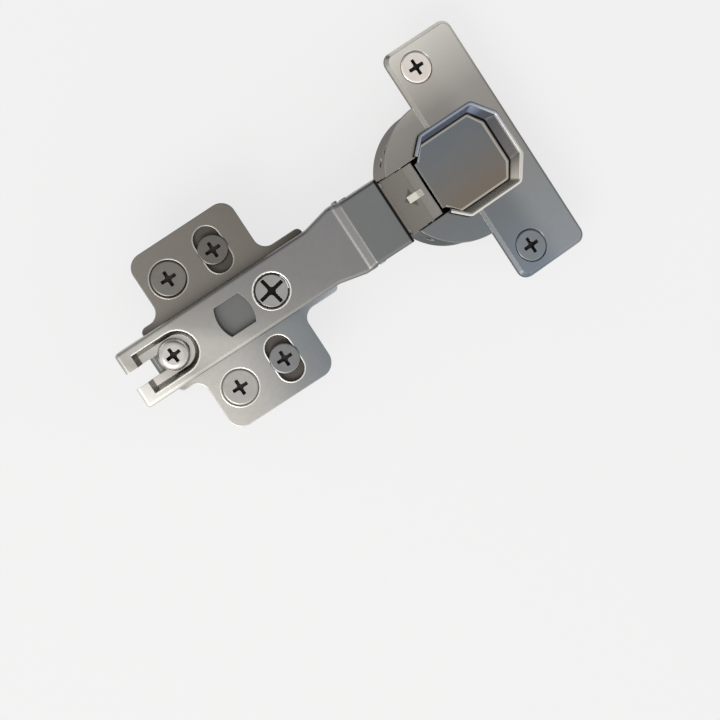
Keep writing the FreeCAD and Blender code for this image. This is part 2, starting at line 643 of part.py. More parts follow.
def hinge_cup():
    flange = slab(mirrored([
        (FLANGE_LEFT, FLANGE_HALF_Y, FLANGE_CORNER_R), (FLANGE_RIGHT, FLANGE_HALF_Y, FLANGE_CORNER_R),
    ]), -FLANGE_T, 0)
    left_edges = [e for e in flange.Edges
                  if e.BoundBox.ZMin > -1e-6 and e.BoundBox.XMax < FLANGE_LEFT + 1e-6]
    flange = flange.makeChamfer(FLANGE_BEVEL, left_edges)
    collar = post(0, 0, -FLANGE_T, -COLLAR_TOP, COLLAR_R)
    pot = post(0, 0, -FLANGE_T - POT_DEPTH, -FLANGE_T, POT_R)
    bottom = [e for e in pot.Edges if e.BoundBox.ZMax < -FLANGE_T - POT_DEPTH + 1e-6]
    pot = pot.makeFillet(POT_EDGE_R, bottom)
    cup = flange.fuse([collar, pot])
    floor = -FLANGE_T - POT_DEPTH + POT_FLOOR_T
    rim = rim_outline(RIM_HALF_Y, RIM_RIGHT, RIM_CHAMFER_X, RIM_CHAMFER_Y, RIM_LEFT, NECK_RIM_X)
    mouth = rim_outline(WELL_HALF_Y, WELL_RIGHT, WELL_CHAMFER_X, WELL_CHAMFER_Y, WELL_LEFT,
                        NECK_WELL_X)
    draft = Part.makeLoft([rounded_wire(rim, flat(RIM_CLEAR)),
                           rounded_wire(mouth, flat(-RIM_DRAFT_DEPTH))], True, True)
    well = slab(mouth, floor, -RIM_DRAFT_DEPTH)
    well = well.cut(box(-COLLAR_R - 4, HINGE_WALL_X, -12, 12, floor - 1, -NECK_NOTCH_DEPTH))
    notch = box(-COLLAR_R - 4, HINGE_WALL_X + 1, -LINK_NOTCH_HALF_Y, LINK_NOTCH_HALF_Y,
                -LINK_NOTCH_DEPTH, 0)
    cuts = [draft, well, notch]
    for centre, radius in ((OUTER_CUP_PIN, PIN_R), (INNER_CUP_PIN, INNER_PIN_R)):
        cuts.append(cross_pin(centre[0], -centre[1], -POT_R, POT_R, radius + PIN_SEAT_GAP))
    cuts.append(cross_pin(FLAP_PIN_X, -FLAP_PIN_DEPTH, -POT_R, POT_R, FLAP_PIN_R + PIN_SEAT_GAP))
    for side in (-1, 1):
        y = side * CUP_SCREW_PITCH / 2
        cuts.append(post(CUP_SCREW_OFFSET, y, -FLANGE_T - 1, 1, SCREW_SHANK_R + 0.1))
        cuts.append(Part.makeCone(SCREW_SHANK_R, SCREW_HEAD_R + 0.2, SCREW_HEAD_CONE_H,
                                  Vector(CUP_SCREW_OFFSET, y, -SCREW_HEAD_CONE_H - SEAT_GAP), Z_AXIS))
        cuts.append(post(CUP_SCREW_OFFSET, y, -SEAT_GAP, 1, SCREW_HEAD_R + 0.2))
    return in_cup(cup.cut(cuts).removeSplitter())


def cup_stub(side):
    """Short pin for one cheek of the outer link, held in the pot's wall."""
    reach = math.sqrt(POT_R ** 2 - (abs(OUTER_CUP_PIN[0]) + PIN_R) ** 2) - 0.2
    inner = OUTER_LINK_HALF_Y - CHEEK_T - 0.2
    low = inner if side > 0 else -reach
    high = reach if side > 0 else -inner
    return in_cup(cross_pin(OUTER_CUP_PIN[0], -OUTER_CUP_PIN[1], low, high, PIN_R))


def inner_link_cup_pin():
    reach = math.sqrt(POT_R ** 2 - (abs(INNER_CUP_PIN[0]) + INNER_PIN_R) ** 2) - 0.2
    return in_cup(cross_pin(INNER_CUP_PIN[0], -INNER_CUP_PIN[1], -reach, reach, INNER_PIN_R))


def flap_pin():
    reach = math.sqrt(POT_R ** 2 - (abs(FLAP_PIN_X) + FLAP_PIN_R) ** 2) - 0.2
    return in_cup(cross_pin(FLAP_PIN_X, -FLAP_PIN_DEPTH, -reach, reach, FLAP_PIN_R))


def damper_flap():
    plate = slab(mirrored([
        (FLAP_TONGUE_END, FLAP_TONGUE_HALF_Y, 0.3), (FLAP_TONGUE_SHOULDER, FLAP_TONGUE_HALF_Y, 0.3),
        (FLAP_LEFT_SHOULDER, FLAP_HALF_Y, 0.5), (FLAP_CHAMFER_X, FLAP_HALF_Y, 0.6),
        (FLAP_RIGHT, FLAP_CHAMFER_Y, 0.6),
    ]), -FLAP_TOP - FLAP_T, -FLAP_TOP)
    pieces = []
    for side in (-1, 1):
        y0 = FLAP_EAR_INNER_Y if side > 0 else -FLAP_EAR_INNER_Y - FLAP_EAR_T
        pieces.append(cross_pin(FLAP_PIN_X, -FLAP_PIN_DEPTH, y0, y0 + FLAP_EAR_T, FLAP_EAR_R))
        pieces.append(box(FLAP_PIN_X - FLAP_EAR_R, FLAP_PIN_X + FLAP_EAR_R * 0.6, y0, y0 + FLAP_EAR_T,
                          -FLAP_PIN_DEPTH, -FLAP_TOP - FLAP_T / 2))
    flap = plate.fuse(pieces)
    flap = flap.cut(cross_pin(FLAP_PIN_X, -FLAP_PIN_DEPTH, -POT_R, POT_R, FLAP_PIN_R + PIN_RUN_GAP))
    return in_cup(flap.removeSplitter())


def cup_floor():
    return FLANGE_T + POT_DEPTH - POT_FLOOR_T


def damper_housing():
    block = slab(mirrored([
        (DAMPER_LEFT, DAMPER_HALF_Y, 1.2), (DAMPER_RIGHT, DAMPER_HALF_Y, 2.0),
    ]), -cup_floor() + SEAT_GAP, -DAMPER_TOP)
    bore = post(DAMPER_X, 0, -DAMPER_BORE_BOTTOM, -DAMPER_TOP + 1, DAMPER_BORE_R)
    seat = post(DAMPER_X, 0, -DAMPER_TOP - CAP_T, -DAMPER_TOP + 1, CAP_R + PIN_SEAT_GAP)
    return in_cup(block.cut([bore, seat]))


def damper_cap():
    cap = post(DAMPER_X, 0, -DAMPER_TOP - CAP_T + PIN_SEAT_GAP, -DAMPER_TOP, CAP_R)
    return in_cup(cap.cut(post(DAMPER_X, 0, -DAMPER_TOP - 2, -DAMPER_TOP + 1, PISTON_ROD_R + PISTON_GAP)))


def piston_head_top():
    return DAMPER_TOP + CAP_T + 0.1


def damper_piston():
    head_top = -piston_head_top()
    head = post(DAMPER_X, 0, head_top - PISTON_HEAD_T, head_top, DAMPER_BORE_R - PISTON_GAP)
    middle = head_top - PISTON_HEAD_T / 2
    groove_r = SEAL_R + SEAL_GAP
    groove = Part.makeTorus(seal_ring_r(), groove_r, Vector(DAMPER_X, 0, middle), Z_AXIS)
    mouth = post(DAMPER_X, 0, middle - groove_r, middle + groove_r, DAMPER_BORE_R)
    groove = groove.fuse(mouth.cut(post(DAMPER_X, 0, middle - 1, middle + 1, seal_ring_r())))
    tip = -FLAP_TOP - FLAP_T - PISTON_TOUCH_GAP
    rod = post(DAMPER_X, 0, head_top, tip, PISTON_ROD_R)
    rod = rod.makeFillet(0.6, [e for e in rod.Edges if e.BoundBox.ZMin > tip - 1e-6])
    return in_cup(head.cut(groove).fuse(rod).removeSplitter())


def seal_ring_r():
    return DAMPER_BORE_R - SEAL_R - SEAL_GAP


def piston_seal():
    centre = Vector(DAMPER_X, 0, -piston_head_top() - PISTON_HEAD_T / 2)
    return in_cup(Part.makeTorus(seal_ring_r(), SEAL_R, centre, Z_AXIS))


def cup_screw(side):
    screw = countersunk_screw(CUP_SCREW_OFFSET, side * CUP_SCREW_PITCH / 2, 0, CUP_SCREW_LENGTH)
    return in_cup(screw)


def main():
    os.makedirs(PARTS, exist_ok=True)
    solids = {
        "mounting_plate": mounting_plate(),
        "panel_screw_rear_left": panel_screw(-1, 1),
        "panel_screw_rear_right": panel_screw(-1, -1),
        "panel_screw_front_left": panel_screw(1, 1),
        "panel_screw_front_right": panel_screw(1, -1),
        "depth_screw": depth_screw(),
        "side_adjusting_screw": side_adjusting_screw(),
        "hinge_arm": hinge_arm(),
        "outer_link_arm_pin": arm_pin(OUTER_ARM_PIN, PIN_R, NOSE_HALF_Y + RIVET_STAND),
        "inner_link_arm_pin": arm_pin(INNER_ARM_PIN, INNER_PIN_R, FLARE_HALF_Y + RIVET_STAND),
        "closing_spring_left": closing_spring(1),
        "closing_spring_right": closing_spring(-1),
        "outer_link": outer_link(),
        "inner_link": inner_link(),
        "hinge_cup": hinge_cup(),
        "outer_link_cup_pin_left": cup_stub(1),
        "outer_link_cup_pin_right": cup_stub(-1),
        "inner_link_cup_pin": inner_link_cup_pin(),
        "damper_flap": damper_flap(),
        "flap_pin": flap_pin(),
        "damper_housing": damper_housing(),
        "damper_cap": damper_cap(),
        "damper_piston": damper_piston(),
        "piston_seal": piston_seal(),
        "cup_screw_left": cup_screw(1),
        "cup_screw_right": cup_screw(-1),
    }
    for name, shape in solids.items():
        shape.exportStep(os.path.join(PARTS, name + ".step"))
        print(name, len(shape.Solids), shape.isValid(), round(shape.Volume, 2))


main()
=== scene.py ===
"""Looks of the soft-close cabinet hinge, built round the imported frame.

Lengths are in mm, and MM turns them into the frame's metres. "left" is +Y.
"""
import bpy
import bmesh
import math
from mathutils import Matrix, Vector

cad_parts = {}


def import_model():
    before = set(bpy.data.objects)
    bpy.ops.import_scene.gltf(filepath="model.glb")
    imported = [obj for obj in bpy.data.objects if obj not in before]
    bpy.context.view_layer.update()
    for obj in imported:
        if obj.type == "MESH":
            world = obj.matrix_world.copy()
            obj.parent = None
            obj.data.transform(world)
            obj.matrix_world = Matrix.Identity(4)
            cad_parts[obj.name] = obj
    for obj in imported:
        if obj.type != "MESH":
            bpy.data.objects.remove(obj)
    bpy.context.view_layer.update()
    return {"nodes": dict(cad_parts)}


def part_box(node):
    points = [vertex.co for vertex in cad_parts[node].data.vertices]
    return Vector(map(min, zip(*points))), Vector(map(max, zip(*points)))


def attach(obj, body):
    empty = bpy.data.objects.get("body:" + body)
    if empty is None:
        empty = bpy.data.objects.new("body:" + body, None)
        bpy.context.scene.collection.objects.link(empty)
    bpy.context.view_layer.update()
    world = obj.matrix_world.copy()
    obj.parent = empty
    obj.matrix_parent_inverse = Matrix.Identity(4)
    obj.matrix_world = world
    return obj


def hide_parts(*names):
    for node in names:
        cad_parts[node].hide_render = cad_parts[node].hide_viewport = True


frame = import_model()
nodes = frame["nodes"]

MM = 0.001

# Places on the solids that the dressing follows
PLATE_TOP = 2.0
HOLE_X, HOLE_Y = 6.55, 16.0          # round holes at -X, height slots at +X
SLOT_HALF, SLOT_LENGTH = 3.35, 12.5
ARM_TOP = 9.3
CLAMP_X, CLAMP_TOP = -15.2, 9.05
SIDE_SCREW_X = 13.4
SIDE_SCREW_TURN = math.radians(11)
SIDE_SCREW_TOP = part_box("side_adjusting_screw")[1].z / MM
CUP_X, CUP_Z = 67.5, 2.4             # origin of the cup's own frame, which lies on the flange
CUP_TILT = math.radians(20)
CUP_FRAME = Matrix.Translation((CUP_X * MM, 0, CUP_Z * MM)) @ Matrix.Rotation(CUP_TILT, 4, "Y")
CUP_SCREW_X, CUP_SCREW_Y = 5.5, 26.0
FLOOR_Z = -16.2

X_AXIS, Y_AXIS, Z_AXIS = (1, 0, 0), (0, 1, 0), (0, 0, 1)


# Materials

def linear(red, green, blue):
    """Scene-linear colour of an 8-bit display colour."""
    out = []
    for value in (red, green, blue):
        value = value / 255
        out.append(value / 12.92 if value <= 0.04045 else ((value + 0.055) / 1.055) ** 2.4)
    return (*out, 1)


class Tree:
    """Short ways to fill the node tree of a material or world."""

    def __init__(self, owner):
        owner.use_nodes = True
        self.tree = owner.node_tree
        self.tree.nodes.clear()

    def add(self, kind, **settings):
        node = self.tree.nodes.new(kind)
        for key, value in settings.items():
            setattr(node, key, value)
        return node

    def link(self, source, target):
        self.tree.links.new(source, target)

    def put(self, value, target):
        """Set a socket to a constant, or link another socket to it."""
        if isinstance(value, (int, float, tuple)):
            target.default_value = value
        else:
            self.link(value, target)

    def math(self, operation, first, second):
        node = self.add("ShaderNodeMath", operation=operation)
        self.put(first, node.inputs[0])
        self.put(second, node.inputs[1])
        return node.outputs[0]

    def dot(self, vector, direction):
        """Dot product of a socket with another, or with a constant direction."""
        node = self.add("ShaderNodeVectorMath", operation="DOT_PRODUCT")
        self.link(vector, node.inputs[0])
        self.put(direction, node.inputs[1])
        return node.outputs["Value"]

    def map_range(self, value, settings, **options):
        """Output of a Map Range node with the given From or To values."""
        node = self.add("ShaderNodeMapRange", **options)
        self.link(value, node.inputs["Value"])
        for name, number in settings.items():
            node.inputs[name].default_value = number
        return node.outputs["Result"]

    def mix(self, factor, first, second):
        node = self.add("ShaderNodeMix", data_type="RGBA")
        self.put(factor, node.inputs[0])
        self.put(first, node.inputs[6])
        self.put(second, node.inputs[7])
        return node.outputs[2]

    def stepped(self, value, stops):
        """Colour ramp through (place, scene-linear colour) stops, for a value from 0 to 1."""
        node = self.add("ShaderNodeValToRGB")
        elements = node.color_ramp.elements
        while len(elements) < len(stops):
            elements.new(0.5)
        for element, (place, _) in zip(elements, stops):
            element.position = place
        for element, (_, colour) in zip(elements, stops):
            element.color = colour
        self.link(value, node.inputs["Fac"])
        return node.outputs["Color"]


class Graph(Tree):
    """Material with a Principled shader, placed by the row frame's coordinates."""

    def __init__(self, name):
        self.material = bpy.data.materials.new(name)
        super().__init__(self.material)
        output = self.add("ShaderNodeOutputMaterial")
        self.shader = self.add("ShaderNodeBsdfPrincipled")
        self.link(self.shader.outputs[0], output.inputs[0])
        where = self.add("ShaderNodeTexCoord")
        self.position = where.outputs["Object"]
        self.normal = where.outputs["Normal"]

    def along(self, direction):
        """Distance in mm along a direction of the row frame."""
        return self.dot(self.position, tuple(c / MM for c in direction))

    def facing(self, direction):
        """How far the surface faces a direction of the row frame."""
        return self.dot(self.normal, direction)

    def step(self, value, low, high):
        """Smooth step from 0 at low to 1 at high."""
        return self.map_range(value, {"From Min": low, "From Max": high}, interpolation_type="SMOOTHSTEP")

    def ramp(self, value, stops):
        """Colour that follows a value in mm through (place, display colour) stops."""
        low, high = stops[0][0], stops[-1][0]
        scaled = self.map_range(value, {"From Min": low, "From Max": high})
        return self.stepped(scaled, [((place - low) / (high - low), linear(*colour))
                                     for place, colour in stops])

    def noise(self, scale, detail):
        node = self.add("ShaderNodeTexNoise")
        node.inputs["Scale"].default_value = scale
        node.inputs["Detail"].default_value = detail
        node.inputs["Roughness"].default_value = 0.5
        self.link(self.position, node.inputs["Vector"])
        return node.outputs["Fac"]

    def surface(self, radius, samples, grain_scale, strength, distance):
        """Fine bump over edges that are rounded in shading only. Gives the rounded normal."""
        bevel = self.add("ShaderNodeBevel", samples=samples)
        bevel.inputs["Radius"].default_value = radius * MM
        bump = self.add("ShaderNodeBump")
        bump.inputs["Strength"].default_value = strength
        bump.inputs["Distance"].default_value = distance * MM
        self.link(self.noise(grain_scale, 2.0), bump.inputs["Height"])
        self.link(bevel.outputs[0], bump.inputs["Normal"])
        self.link(bump.outputs[0], self.shader.inputs["Normal"])
        return bevel.outputs[0]


# Painted highlight: edges are mixed towards this light tone, by this share.
EDGE_HIGHLIGHT_TONE = (226, 223, 218)
EDGE_HIGHLIGHT_SHARE = 0.2


def finish_metal(graph, colour, roughness, grain=0.03, edge=0.22):
    """Plated metal: fine grain, uneven tone, and a painted highlight that makes edges a little brighter."""
    cloud = graph.map_range(graph.noise(55, 3.0), {"To Min": 0.93, "To Max": 1.07})
    toned = graph.add("ShaderNodeVectorMath", operation="SCALE")
    graph.link(colour, toned.inputs[0])
    graph.link(cloud, toned.inputs["Scale"])
    rounded = graph.surface(edge, 8, 4000, grain, 0.02)
    geometry = graph.add("ShaderNodeNewGeometry")
    turn = graph.dot(rounded, geometry.outputs["Normal"])
    # Painted highlight where the rounded normal turns away from the face's own normal.
    edge_highlight = graph.math("MULTIPLY", graph.step(turn, 0.995, 0.86), EDGE_HIGHLIGHT_SHARE)
    graph.link(graph.mix(edge_highlight, toned.outputs[0], linear(*EDGE_HIGHLIGHT_TONE)), graph.shader.inputs["Base Color"])
    graph.shader.inputs["Metallic"].default_value = 1.0
    rough = graph.map_range(graph.noise(900, 4.0), {"To Min": roughness - 0.05, "To Max": roughness + 0.06})
    graph.link(rough, graph.shader.inputs["Roughness"])
    return graph.material


def plain_metal(name, colour, roughness, **options):
    graph = Graph(name)
    brighter = linear(*[min(255, c * 1.08) for c in colour])
    base = graph.mix(graph.noise(400, 3.0), linear(*colour), brighter)
    return finish_metal(graph, base, roughness, **options)


def plate_metal():
    """Painted light: two wings that shade differently along X as the room's light falls on them, and painted
    shade on the darker hump under the arm between them.
    """
    graph = Graph("plate_nickel_painted_light")
    x = graph.along(X_AXIS)
    # Painted light: the tone of each wing along X, as the room's light falls on it.
    upper = graph.ramp(x, [(-23, (79, 72, 67)), (-14, (118, 113, 108)), (16, (108, 104, 97)),
                           (27, (80, 73, 66))])
    lower = graph.ramp(x, [(-23, (98, 97, 94)), (-15, (176, 174, 168)), (-3, (162, 160, 156)),
                           (6, (130, 131, 131)), (16, (112, 117, 120)), (27, (154, 157, 162))])
    side = graph.step(graph.along(Y_AXIS), -8.0, 5.0)
    wings = graph.mix(side, lower, upper)
    # Painted shade on the hump under the arm.
    hump = graph.step(graph.along(Z_AXIS), 3.2, 4.6)
    colour = graph.mix(hump, wings, linear(106, 107, 105))
    return finish_metal(graph, colour, 0.3, edge=0.38)


def arm_metal():
    """Painted light: tone along a slanting line, then the slope to the nose and the nose with lit tones of
    their own, and painted shade on the nose's dark end.
    """
    graph = Graph("arm_nickel_painted_light")
    skew = graph.along((1, 1.2, 0))
    # Painted light: tone along a slanting line across the arm's top.
    top = graph.ramp(skew, [(-36, (216, 213, 206)), (-29, (204, 201, 195)), (-21, (158, 155, 149)),
                            (-14, (170, 168, 163)), (-8, (167, 165, 160)), (-3, (145, 143, 139)),
                            (6, (131, 129, 126)), (20, (122, 121, 120)), (42, (118, 117, 117))])
    x = graph.along(X_AXIS)
    slope = graph.step(x, 36.7, 37.1)
    nose = graph.step(x, 38.45, 38.75)
    lip = graph.step(x, 48.3, 48.5)
    tones = graph.mix(nose, graph.mix(slope, top, linear(104, 103, 102)), linear(107, 108, 108))
    # Painted shade on the nose's end, for the dark gap there.
    colour = graph.mix(lip, tones, linear(38, 36, 34))
    return finish_metal(graph, colour, 0.3, edge=0.12)


def neck_metal(edge=0.22):
    """Painted light: lighter from where the neck bends down, so that the bend doesn't show as a line."""
    graph = Graph("neck_nickel_painted_light")
    x = graph.along(X_AXIS)
    colour = graph.ramp(x, [(49, (118, 113, 107)), (55.75, (126, 122, 116)), (55.95, (160, 156, 149)),
                            (58, (166, 162, 156))])
    return finish_metal(graph, colour, 0.3, edge=edge)


def flap_metal():
    graph = Graph("flap_nickel_painted_light")
    y = graph.along(Y_AXIS)
    # Painted light: the flap's tone turns from warm at −Y to bluish at +Y.
    colour = graph.ramp(y, [(-9, (122, 112, 101)), (-3, (119, 115, 110)), (3, (115, 117, 118)),
                            (9, (110, 116, 122))])
    return finish_metal(graph, colour, 0.3)


def cup_metal():
    """Painted light on the flange, which brightens along Y and towards its far end, and painted shade on
    faces that lean towards the arm. The pot's wall is painted with the lit tone of the collar beside it.
    """
    graph = Graph("cup_nickel_painted_light")
    y = graph.along(Y_AXIS)
    # Painted light: the flange brightens along Y.
    colour = graph.ramp(y, [(-32, (124, 132, 142)), (-18, (119, 125, 129)), (-9, (118, 120, 121)),
                            (4, (130, 127, 122)), (15, (147, 143, 138)), (22, (184, 179, 172)),
                            (32, (224, 221, 212))])
    sine, cosine = math.sin(CUP_TILT), math.cos(CUP_TILT)
    depth = graph.along((-sine, 0, -cosine))
    flange = -(CUP_X * sine + CUP_Z * cosine)
    below = graph.step(depth, flange - 0.2, flange + 0.1)
    upright = graph.step(graph.facing((sine, 0, cosine)), 0.8, 0.5)
    aside = graph.math("MULTIPLY", upright, below)
    to_arm = graph.facing((-cosine, 0, sine))
    behind = graph.step(to_arm, 0.0, 0.35)
    painted_shade_leaning = graph.step(to_arm, 0.1, 0.3)
    # Painted light over the flange's far end.
    far_painted_light = graph.math("MULTIPLY", graph.step(graph.along(X_AXIS), 72, 80), 0.22)
    colour = graph.mix(far_painted_light, colour, linear(200, 198, 194))
    # Painted shade on faces that lean towards the arm.
    colour = graph.mix(graph.math("MULTIPLY", painted_shade_leaning, 0.62), colour, linear(20, 19, 18))
    # Painted light: the pot's wall takes the lit tone of the collar beside it.
    wall = graph.ramp(y, [(-14, (138, 141, 143)), (6, (172, 168, 163))])
    colour = graph.mix(graph.math("MULTIPLY", aside, behind), colour, wall)
    graph.shader.inputs["Specular Tint"].default_value = (0.3, 0.3, 0.3, 1)
    return finish_metal(graph, colour, 0.3)


def recess_painted_shade():
    """Painted shade: dark bottom of the driver recesses."""
    graph = Graph("recess_painted_shade")
    graph.link(graph.mix(graph.noise(2500, 3.0), linear(20, 18, 16), linear(38, 35, 32)),
               graph.shader.inputs["Base Color"])
    graph.shader.inputs["Metallic"].default_value = 0.0
    graph.shader.inputs["Roughness"].default_value = 0.7
    return graph.material


def side_screw_metal(low):
    """Nickel with painted shade in the driver slots below the head's top."""
    graph = Graph("side_screw_nickel_slot_shade")
    shiny = graph.mix(graph.noise(500, 3.0), linear(120, 119, 116), linear(150, 149, 147))
    # Painted shade in the slots, below the head's top.
    below = graph.step(graph.along(Z_AXIS), low, low - 0.12)
    colour = graph.mix(below, shiny, linear(30, 28, 27))
    return finish_metal(graph, colour, 0.3, edge=0.15)


def plastic(name, colour, roughness):
    graph = Graph(name)
    base = graph.mix(graph.noise(300, 3.0), linear(*colour), linear(*[c * 1.15 for c in colour]))
    graph.link(base, graph.shader.inputs["Base Color"])
    graph.shader.inputs["Roughness"].default_value = roughness
    graph.surface(0.15, 4, 5000, 0.15, 0.03)
    return graph.material


def recess_metal():
    """Sloping wall of the cup's recess, with painted light and shade: dark across the far end, lighter along
    the sides.
    """
    graph = Graph("recess_nickel_painted_light")
    y = graph.along(Y_AXIS)
    colour = graph.ramp(y, [(-11.5, (200, 193, 182)), (-7.5, (140, 135, 128)), (-5, (76, 75, 74)),
                            (5, (60, 61, 63)), (8, (66, 70, 79)), (11.5, (122, 131, 148))])
    return finish_metal(graph, colour, 0.36)


def rim_metal():
    graph = Graph("recess_rim_painted_highlight")
    y = graph.along(Y_AXIS)
    # Painted highlight on the rolled rim: bright at −Y, dimmer and bluer at +Y.
    colour = graph.ramp(y, [(-11.5, (216, 211, 203)), (0, (188, 188, 186)), (11.5, (138, 145, 158))])
    return finish_metal(graph, colour, 0.26)


def paint(node, material):
    target = nodes[node]
    if not target.material_slots:
        target.data.materials.append(material)
    for slot in target.material_slots:
        slot.link = "OBJECT"
        slot.material = material


dark = recess_painted_shade()
pin_steel = plain_metal("pin_steel", (150, 150, 150), 0.22)
spring_steel = plain_metal("spring_steel", (128, 126, 124), 0.25, grain=0.04)
link_steel = plain_metal("link_steel", (138, 136, 133), 0.3)
black_plastic = plastic("damper_black", (34, 34, 36), 0.45)
grey_plastic = plastic("damper_grey", (92, 93, 95), 0.4)
rubber = plastic("seal_black", (22, 22, 22), 0.75)

for node, material in {
        "mounting_plate": plate_metal(),
        "hinge_arm": arm_metal(),
        "outer_link": neck_metal(),
        "damper_flap": flap_metal(),
        "hinge_cup": cup_metal(),
        "inner_link": link_steel,
        "side_adjusting_screw": side_screw_metal(SIDE_SCREW_TOP - 0.1),
        "outer_link_arm_pin": pin_steel,
        "inner_link_arm_pin": pin_steel,
        "outer_link_cup_pin_left": pin_steel,
        "outer_link_cup_pin_right": pin_steel,
        "inner_link_cup_pin": pin_steel,
        "flap_pin": pin_steel,
        "closing_spring_left": spring_steel,
        "closing_spring_right": spring_steel,
        "damper_housing": black_plastic,
        "damper_cap": grey_plastic,
        "damper_piston": grey_plastic,
        "piston_seal": rubber}.items():
    paint(node, material)


# Mesh helpers

def make_object(name, build, materials, place=None):
    """Object from a function that fills a bmesh, with its points moved by place."""
    mesh = bpy.data.meshes.new(name)
    graph = bmesh.new()
    build(graph)
    bmesh.ops.recalc_face_normals(graph, faces=graph.faces)
    graph.to_mesh(mesh)
    graph.free()
    if place is not None:
        mesh.transform(place)
    for material in materials:
        mesh.materials.append(material)
    made = bpy.data.objects.new(name, mesh)
    bpy.context.scene.collection.objects.link(made)
    return made


def at(x, y, z):
    """Move to a place given in mm."""
    return Matrix.Translation((x * MM, y * MM, z * MM))


def level(graph, points, height):
    """Vertices through (x, y) points, all at one height."""
    return [graph.verts.new((x * MM, y * MM, height * MM)) for x, y in points]


def ring(graph, radius, height, count):
    """Circle of vertices. The radius may be a function of the angle."""
    made = []
    for k in range(count):
        angle = 2 * math.pi * k / count
        r = radius(angle) if callable(radius) else radius
        made.append(graph.verts.new((r * math.cos(angle) * MM, r * math.sin(angle) * MM, height * MM)))
    return made


def stitch(graph, upper, lower, smooth=True, material=0):
    """Wall of quads between two closed loops with equally many vertices."""
    count = len(upper)
    for k in range(count):
        face = graph.faces.new((upper[k], upper[(k + 1) % count], lower[(k + 1) % count], lower[k]))
        face.smooth = smooth
        face.material_index = material


def fill_between(graph, outer, inner):
    """Flat triangles between two closed loops."""
    edges = []
    for loop in (outer, inner):
        for k in range(len(loop)):
            edges.append(graph.edges.new((loop[k], loop[(k + 1) % len(loop)])))
    bmesh.ops.triangle_fill(graph, edges=edges, use_beauty=True, use_dissolve=False)


# Screws

def cross_outline(span, bar, fillet, turn=0.0):
    """Cross with rounded inner corners, anticlockwise, as (x, y) points."""
    points = []
    for quarter in range(4):
        base = quarter * math.pi / 2 + turn
        local = [(span / 2, -bar / 2), (span / 2 + 0.08, 0), (span / 2, bar / 2)]
        centre = bar / 2 + fillet
        for step in range(5):
            angle = math.radians(-90 - 90 * step / 4)
            local.append((centre + fillet * math.cos(angle), centre + fillet * math.sin(angle)))
        for x, y in local:
            points.append((x * math.cos(base) - y * math.sin(base),
                           x * math.sin(base) + y * math.cos(base)))
    return points


def screw_builder(head, core_r, crest_r, pitch, tip_z, tip_len, thread_from, recess, segments=32):
    """Head profile as (radius, height) from its flat top outwards and down, then a threaded shank.

    The recess is a cross given by its span, bar width, fillet, depth and turn.
    """
    span, bar, fillet, depth, turn = recess
    shank_r, start = head[-1]

    def shank_row(height):
        """Radius round the shank at one height: a core with the thread's ridge on it."""
        to_tip = height - tip_z
        taper = min(1.0, max(0.06, to_tip / tip_len))
        grow = min(1.0, max(0.0, (thread_from - height) / pitch))
        fade = grow * min(1.0, to_tip / (0.35 * tip_len))
        core = core_r * taper
        crest = core + (crest_r - core_r) * min(1.0, 0.25 + taper)
        smooth_core = core + (shank_r - core) * (1 - grow) * 0.6

        def radius(angle):
            phase = (height / pitch - angle / (2 * math.pi)) % 1.0
            ridge = max(0.0, 1 - abs(phase - 0.5) / 0.3)
            return smooth_core + (crest - smooth_core) * ridge * fade if fade > 0 else smooth_core

        return radius

    def build(graph):
        top_r, top_z = head[0]
        rim = ring(graph, top_r, top_z, segments)
        outline = level(graph, cross_outline(span, bar, fillet, turn), top_z)
        fill_between(graph, rim, outline)
        low = level(graph, cross_outline(span * 0.72, bar * 0.8, fillet * 0.8, turn), top_z - depth)
        # Slot 1 holds the painted shade of the driver recess.
        stitch(graph, outline, low, smooth=False, material=1)
        floor = graph.faces.new(low)
        floor.material_index = 1
        before = rim
        for radius, height in head[1:]:
            row = ring(graph, radius, height, segments)
            stitch(graph, before, row)
            before = row
        steps = int((start - tip_z) / (pitch / 10))
        for i in range(1, steps):
            height = start + (tip_z - start) * i / steps
            row = ring(graph, shank_row(height), height, segments)
            stitch(graph, before, row)
            before = row
        end = graph.verts.new((0, 0, tip_z * MM))
        for k in range(segments):
            face = graph.faces.new((before[k], before[(k + 1) % segments], end))
            face.smooth = True

    return build


def screw_metal(name, colour, edge=0.12):
    return plain_metal(name, colour, 0.28, grain=0.04, edge=edge)


def wood_screw(name, node, place, length, colour, body, head_r=4.0, edge=0.12):
    head = [(head_r - 0.45, 0.0), (head_r - 0.08, -0.06), (head_r, -0.2), (head_r - 0.4, -0.52),
            (2.9, -1.15), (2.3, -1.75), (2.0, -2.0)]
    build = screw_builder(head, core_r=1.35, crest_r=2.0, pitch=1.75, tip_z=-length, tip_len=4.0,
                          thread_from=-3.2, recess=(4.1, 0.9, 0.42, 1.5, 0.0))
    made = make_object(name, build, [screw_metal(name + "_metal", colour, edge), dark], place)
    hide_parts(node)
    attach(made, body)


REAR_TOP, FRONT_TOP = 1.96, 2.4
# Painted light: each copy of the screw gets its own lit tone, lighter or darker as the light falls where it
# sits.
for place, x, y, top, length, head_r, colour in (
        ("rear_left", -HOLE_X, HOLE_Y, REAR_TOP, 16.0, 4.5, (106, 103, 99)),
        ("rear_right", -HOLE_X, -HOLE_Y, REAR_TOP, 16.0, 4.5, (150, 148, 144)),
        ("front_left", HOLE_X, HOLE_Y, FRONT_TOP, 15.6, 3.85, (93, 90, 86)),
        ("front_right", HOLE_X, -HOLE_Y, FRONT_TOP, 15.6, 3.85, (112, 113, 113))):
    wood_screw("panel_fixing_" + place, "panel_screw_" + place, at(x, y, top), length, colour,
               "mounting", head_r, edge=0.04)
